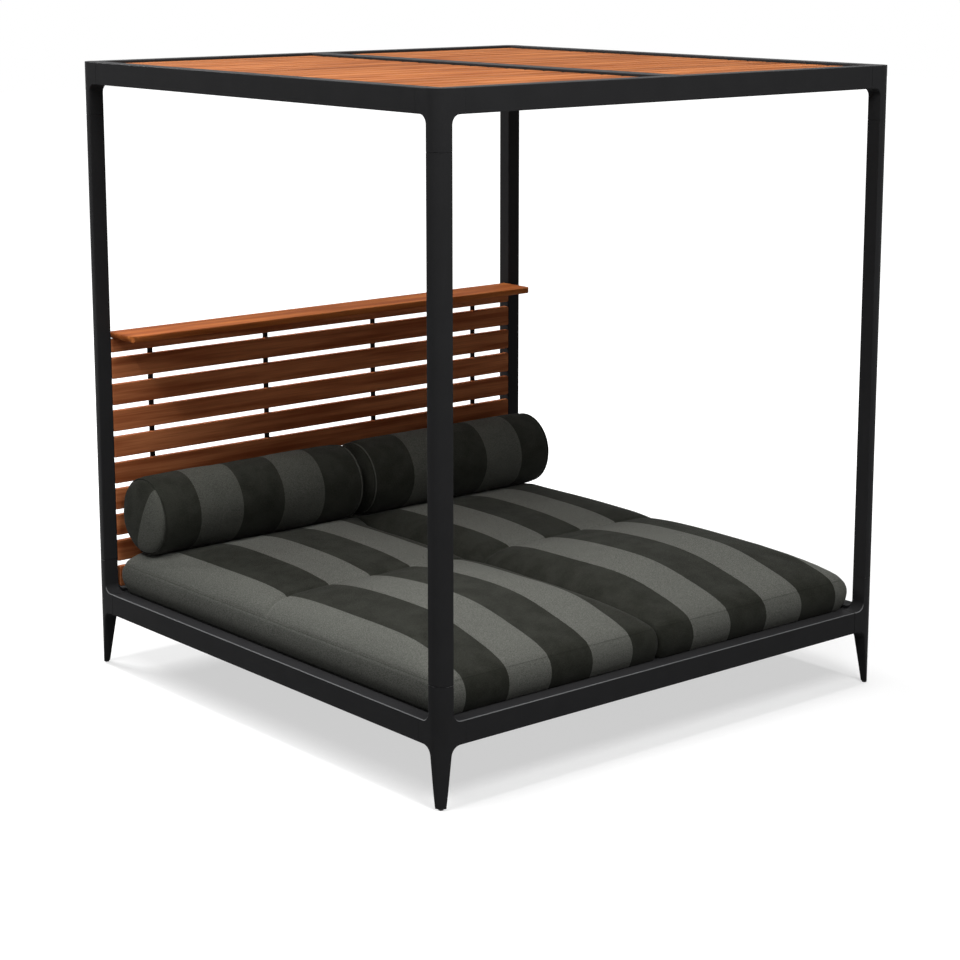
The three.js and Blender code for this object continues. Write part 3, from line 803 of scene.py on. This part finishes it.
def sew_mattress(form, piece, seed):
    """Sewn details of the cover, made after the cloth has settled."""
    points = read_points(piece.data)
    normals = read_normals(piece.data)
    x, y, z = points.T
    side = np.clip(1 - np.abs(normals[:, 2]), 0, 1)
    groove = SEAM_DEPTH * np.exp(-((z - SEAM_HEIGHT) / SEAM_SPREAD) ** 2) * side
    on_top = np.clip((z - SEAM_HEIGHT) / TOP_BLEND, 0, 1)
    off_crease = np.abs(y - CREASE_Y)
    stitch = STITCH_DEPTH * np.exp(-(off_crease / STITCH_SPREAD) ** 2) * on_top
    along_crease = np.column_stack([x / PUCKER_PITCH, y / PUCKER_REACH, np.zeros(len(x))])
    pucker = PUCKER_DEPTH * smooth_noise(along_crease, 1, seed)
    pucker *= np.exp(-off_crease / PUCKER_REACH) * on_top
    off_bed = np.clip((np.abs(y - form.bed_y) - BED_HALF_WIDTH) / BED_BLEND, 0, 1)
    slack = SLACK_DEPTH * smooth_noise(points, SLACK_PITCH, seed + MATTRESS_SLACK_SEED) * off_bed
    offset = -groove - stitch + pucker + slack * on_top
    points = points + normals * offset[:, None]
    fit_between_neighbours(form, points)
    write_points(piece.data, points)


def fit_between_neighbours(form, points):
    """Keeps a mattress clear of the rails, of the deck and of the mattress beside it."""
    sign = 1 if form.centre_x > 0 else -1
    outer = abs(form.centre_x) + form.half_x
    in_rails = points[:, 2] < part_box("base_rail_left")[1].z + RAIL_CLEARANCE
    outer_limit = np.where(in_rails, outer, outer + WALL_BULGE)
    points[:, 0] = sign * np.clip(points[:, 0] * sign, SPLIT_CLEARANCE, outer_limit)
    front = form.centre_y - form.half_y
    front_limit = np.where(in_rails, front, front - WALL_BULGE)
    points[:, 1] = np.clip(points[:, 1], front_limit, form.centre_y + form.half_y + WALL_BULGE)
    points[:, 2] = np.maximum(points[:, 2], form.bottom)


def make_mattress(side, dark_start, seed):
    name = f"mattress_{side}"
    form = MattressForm(name, f"bolster_{side}")
    piece = mattress_mesh(f"{name}_cover", form)
    remesh(piece, MATTRESS_VOXEL)
    held = mattress_held(form, read_points(piece.data))
    inflate(piece, held, MATTRESS_PRESSURE, MATTRESS_SLACK_SHARE, MATTRESS_MOVE)
    subdivide(piece)
    sew_mattress(form, piece, seed)
    canvas = striped_canvas(
        f"{name}_canvas", ACROSS, dark_start, MATTRESS_STRIPE, MATTRESS_GREYS,
        seams=[(UP, SEAM_HEIGHT)],
    )
    finish_soft(piece, [canvas], name)


def finish_soft(piece, materials, node):
    """Shading and materials of a cushion that stands for a CAD node; the node is hidden and the
    cushion joins its body.
    """
    piece.data.materials.clear()
    for material in materials:
        piece.data.materials.append(material)
    smooth_faces(piece.data)
    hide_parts(node)
    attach(piece, node)


class BolsterForm:
    """The outline of one bolster, taken from its CAD node."""

    def __init__(self, node):
        low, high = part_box(node)
        self.centre = (low + high) / 2
        self.half = (high.x - low.x) / 2
        self.radius = (high.z - low.z) / 2
        self.seam_radius = self.radius - SHOULDER_DROP
        self.seam = self.half - DOME

    def outline(self, share):
        """Place along the axis and radius of the outline; share runs from -1 to 1."""
        reach = np.abs(share)
        on_dome = reach > 1 - DOME_SHARE
        turn = np.clip((1 - reach) / DOME_SHARE, 0, 1) * math.pi / 2
        rim = np.sin(turn)
        depth = DOME * (1 - rim ** DOME_POWER) ** (1 / DOME_POWER)
        place = np.where(on_dome, self.seam + depth, self.seam * reach / (1 - DOME_SHARE))
        off_seam = np.clip((self.seam - place) / SHOULDER, 0, 1)
        tube = self.seam_radius + SHOULDER_DROP * np.sin(off_seam * math.pi / 2)
        return np.sign(share) * place, np.where(on_dome, self.seam_radius * rim, tube)


def bolster_mesh(name, form):
    """Closed form of a bolster: rings of points along its axis and a tip at each end."""
    shares = np.linspace(-1, 1, BOLSTER_RINGS + 1)[1:-1]
    places, radii = form.outline(shares)
    angles = np.linspace(0, 2 * math.pi, BOLSTER_FACETS, endpoint=False)
    points = []
    for place, radius in zip(places, radii):
        for angle in angles:
            y = form.centre.y + radius * math.cos(angle)
            z = form.centre.z + radius * math.sin(angle)
            points.append((form.centre.x + place, y, z))
    faces = []
    for ring in range(len(shares) - 1):
        for step in range(BOLSTER_FACETS):
            there = (step + 1) % BOLSTER_FACETS
            first, second = ring * BOLSTER_FACETS, (ring + 1) * BOLSTER_FACETS
            faces.append((first + step, second + step, second + there, first + there))
    for ring, end, order in ((0, -1, 1), (len(shares) - 1, 1, -1)):
        points.append((form.centre.x + end * form.half, form.centre.y, form.centre.z))
        tip = len(points) - 1
        for step in range(BOLSTER_FACETS):
            there = (step + 1) % BOLSTER_FACETS
            first = ring * BOLSTER_FACETS
            faces.append((tip, first + step, first + there)[::order])
    return new_piece(name, points, faces)


def bolster_held(form, points):
    """Where the cover of a bolster is sewn to its ends or leans on a neighbour."""
    x, y, z = points.T
    held = np.zeros(len(points))
    off_ring = np.abs(np.abs(x - form.centre.x) - form.seam)
    held[off_ring < HELD_RING] = 1
    held[z < form.centre.z - HELD_UNDERSIDE_SHARE * form.radius] = 1
    held[y > form.centre.y + HELD_REAR_SHARE * form.radius] = 1
    return held


def sew_bolster(form, piece, seed):
    """Sewn rings and the small folds that run from them, made after the cloth has settled."""
    points = read_points(piece.data)
    normals = read_normals(piece.data)
    x, y, z = points.T
    off_ring = np.abs(np.abs(x - form.centre.x) - form.seam)
    ring = RING_DEPTH * np.exp(-(off_ring / RING_SPREAD) ** 2)
    angle = np.arctan2(z - form.centre.z, y - form.centre.y)
    round_the_tube = np.column_stack([
        np.cos(angle) * form.radius / WRINKLE_PITCH,
        np.sin(angle) * form.radius / WRINKLE_PITCH,
        x / (2 * WRINKLE_REACH),
    ])
    fold = WRINKLE_DEPTH * smooth_noise(round_the_tube, 1, seed)
    fold *= np.exp(-off_ring / WRINKLE_REACH) * (1 - np.exp(-(off_ring / WRINKLE_START) ** 2))
    slack = SLACK_DEPTH * smooth_noise(points, SLACK_PITCH / 2, seed + BOLSTER_SLACK_SEED)
    slack *= np.clip(off_ring / RING_BLEND, 0, 1)
    above_underside = z - form.centre.z + UNDERSIDE_SHARE * form.radius
    free = np.clip(above_underside / UNDERSIDE_BLEND, 0, 1)
    points = points + normals * ((fold + slack) * free - ring)[:, None]
    points[:, 1] = np.minimum(points[:, 1], form.centre.y + form.radius + REAR_BULGE)
    points[:, 2] = np.maximum(points[:, 2], form.centre.z - form.radius)
    write_points(piece.data, points)


def make_piping(side, form, end, canvas):
    """Round welt sewn over the seam between the tube and one end of a bolster."""
    ring_radius = form.seam_radius + PIPING_RADIUS * PIPING_PROUD_SHARE
    points = []
    for step in range(PIPING_FACETS):
        angle = 2 * math.pi * step / PIPING_FACETS
        for turn in range(PIPING_STEPS):
            around = 2 * math.pi * turn / PIPING_STEPS
            radius = ring_radius + PIPING_RADIUS * math.cos(around)
            x = form.centre.x + end * form.seam + PIPING_RADIUS * math.sin(around)
            y = form.centre.y + radius * math.cos(angle)
            z = form.centre.z + radius * math.sin(angle)
            points.append((x, y, z))
    faces = []
    for step in range(PIPING_FACETS):
        first = step * PIPING_STEPS
        second = (step + 1) % PIPING_FACETS * PIPING_STEPS
        for turn in range(PIPING_STEPS):
            there = (turn + 1) % PIPING_STEPS
            faces.append((first + turn, first + there, second + there, second + turn))
    word = "left_end" if end < 0 else "right_end"
    piece = new_piece(f"bolster_{side}_piping_{word}", points, faces)
    piece.data.materials.append(canvas)
    smooth_faces(piece.data)
    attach(piece, f"bolster_{side}")


def make_bolster(side, dark_start, seed):
    name = f"bolster_{side}"
    form = BolsterForm(name)
    piece = bolster_mesh(f"{name}_cover", form)
    remesh(piece, BOLSTER_VOXEL)
    held = bolster_held(form, read_points(piece.data))
    inflate(piece, held, BOLSTER_PRESSURE, BOLSTER_SLACK_SHARE, BOLSTER_MOVE)
    subdivide(piece)
    sew_bolster(form, piece, seed)
    tube = striped_canvas(f"{name}_canvas", ACROSS, dark_start, BOLSTER_STRIPE, SHADED_BOLSTER_GREYS)
    middle = Vector(END_STRIPE_NORMAL).dot(form.centre)
    outer_end = striped_canvas(
        f"{name}_outer_end_canvas",
        END_STRIPE_NORMAL, middle + OUTER_END_DARK, BOLSTER_STRIPE, SHADED_BOLSTER_GREYS,
    )
    inner_end = striped_canvas(
        f"{name}_inner_end_canvas",
        END_STRIPE_NORMAL, middle + INNER_END_DARK, INNER_END_STRIPE, SHADED_BOLSTER_GREYS,
    )
    outward = math.copysign(1, form.centre.x)
    finish_soft(piece, [tube, outer_end, inner_end], name)
    for polygon in piece.data.polygons:
        reach = (polygon.center.x - form.centre.x) * outward
        if abs(reach) > form.seam:
            polygon.material_index = 1 if reach > 0 else 2
    make_piping(side, form, outward, tube)
    make_piping(side, form, -outward, welt_canvas(f"{name}_welt_canvas"))


def mapped(tree, socket, low, high, to_low, to_high):
    """Value that runs straight from one number to another as a socket runs from low to high."""
    node = tree.nodes.new("ShaderNodeMapRange")
    tree.links.new(socket, node.inputs["Value"])
    node.inputs["From Min"].default_value = low
    node.inputs["From Max"].default_value = high
    node.inputs["To Min"].default_value = to_low
    node.inputs["To Max"].default_value = to_high
    return node.outputs["Result"]


def joined(tree, operation, first, second):
    """Result of one operation on two sockets."""
    node = tree.nodes.new("ShaderNodeMath")
    node.operation = operation
    tree.links.new(first, node.inputs[0])
    tree.links.new(second, node.inputs[1])
    return node.outputs[0]


def seen_directly(tree):
    """1 for rays from the camera and for rays that show in gloss and glass."""
    path = tree.nodes.new("ShaderNodeLightPath")
    camera, *others = [
        path.outputs[name] for name in ("Is Camera Ray", "Is Glossy Ray", "Is Transmission Ray")
    ]
    total = camera
    for socket in others:
        total = joined(tree, "MAXIMUM", total, socket)
    return total


def make_floor():
    """Pale floor that keeps the shadow of the bed and glows white away from it."""
    corners = ((-1, -1), (1, -1), (1, 1), (-1, 1))
    points = [(x * FLOOR_REACH, y * FLOOR_REACH, -FLOOR_DROP) for x, y in corners]
    floor = new_piece("floor", points, [(0, 1, 2, 3)])
    material = bpy.data.materials.new("floor")
    material.use_nodes = True
    tree = material.node_tree
    tree.nodes.clear()
    seen = seen_directly(tree)
    diffuse = tree.nodes.new("ShaderNodeBsdfDiffuse")
    albedo = mapped(tree, seen, 0, 1, FLOOR_BOUNCE_SHARE, FLOOR_SEEN_SHARE)
    tree.links.new(albedo, diffuse.inputs["Color"])
    place = tree.nodes.new("ShaderNodeTexCoord")
    distance = tree.nodes.new("ShaderNodeVectorMath")
    distance.operation = "LENGTH"
    tree.links.new(place.outputs["Object"], distance.inputs[0])
    level = mapped(
        tree, distance.outputs["Value"], FLOOR_FADE_START, FLOOR_FADE_END, FLOOR_GLOW, 1,
    )
    glow = tree.nodes.new("ShaderNodeEmission")
    tree.links.new(joined(tree, "MULTIPLY", seen, level), glow.inputs["Strength"])
    both = tree.nodes.new("ShaderNodeAddShader")
    tree.links.new(diffuse.outputs[0], both.inputs[0])
    tree.links.new(glow.outputs[0], both.inputs[1])
    output = tree.nodes.new("ShaderNodeOutputMaterial")
    tree.links.new(both.outputs[0], output.inputs["Surface"])
    floor.data.materials.append(material)


def make_world():
    """Even pale sky that lights the bed softly and shows white to the camera."""
    world = bpy.data.worlds.new("studio")
    bpy.context.scene.world = world
    world.use_nodes = True
    tree = world.node_tree
    background = tree.nodes["Background"]
    background.inputs["Color"].default_value = (1, 1, 1, 1)
    strength = mapped(tree, seen_directly(tree), 0, 1, SKY_STRENGTH, 1)
    tree.links.new(strength, background.inputs["Strength"])


def make_sun():
    """Sun straight overhead, so that the shadow lies right below the bed."""
    sun = bpy.data.lights.new("overhead_sun", "SUN")
    sun.energy = math.pi * SUN_LEVEL
    sun.angle = math.radians(SUN_SPREAD_DEGREES)
    put_in_scene("overhead_sun", sun)


def make_softbox(name, place, aim, power):
    lamp = bpy.data.lights.new(name, "AREA")
    lamp.shape = "SQUARE"
    lamp.size = SOFTBOX_SIDE
    lamp.energy = power
    point_at(put_in_scene(name, lamp), place, aim)


def make_accent():
    """Spot with a soft rim that warms the left end of the headboard."""
    lamp = bpy.data.lights.new("accent", "SPOT")
    lamp.energy = ACCENT_POWER
    lamp.spot_size = math.radians(ACCENT_CONE_DEGREES)
    lamp.spot_blend = 1
    lamp.shadow_soft_size = ACCENT_RADIUS
    point_at(put_in_scene("accent", lamp), ACCENT_PLACE, ACCENT_AIM)


def point_at(holder, place, aim):
    holder.location = place
    holder.rotation_euler = (Vector(aim) - Vector(place)).to_track_quat("-Z", "Y").to_euler()


def make_camera():
    camera = bpy.data.cameras.new("camera")
    camera.sensor_width = SENSOR_MILLIMETRES
    camera.lens = FOCAL_PIXELS / FRAME_PIXELS * SENSOR_MILLIMETRES
    camera.shift_y = SHIFT_PIXELS / FRAME_PIXELS
    holder = put_in_scene("camera", camera)
    holder.location = CAMERA_PLACE
    holder.rotation_euler = (math.pi / 2 - CAMERA_PITCH, 0, -CAMERA_YAW)
    bpy.context.scene.camera = holder


make_camera()
make_world()
make_sun()
for softbox in SOFTBOXES:
    make_softbox(*softbox)
make_accent()
make_floor()
dress_frame()
make_mattress("left", LEFT_MATTRESS_DARK, seed=1)
make_mattress("right", RIGHT_MATTRESS_DARK, seed=2)
make_bolster("left", LEFT_BOLSTER_DARK, seed=3)
make_bolster("right", RIGHT_BOLSTER_DARK, seed=4)
bpy.context.scene.view_settings.view_transform = "Standard"
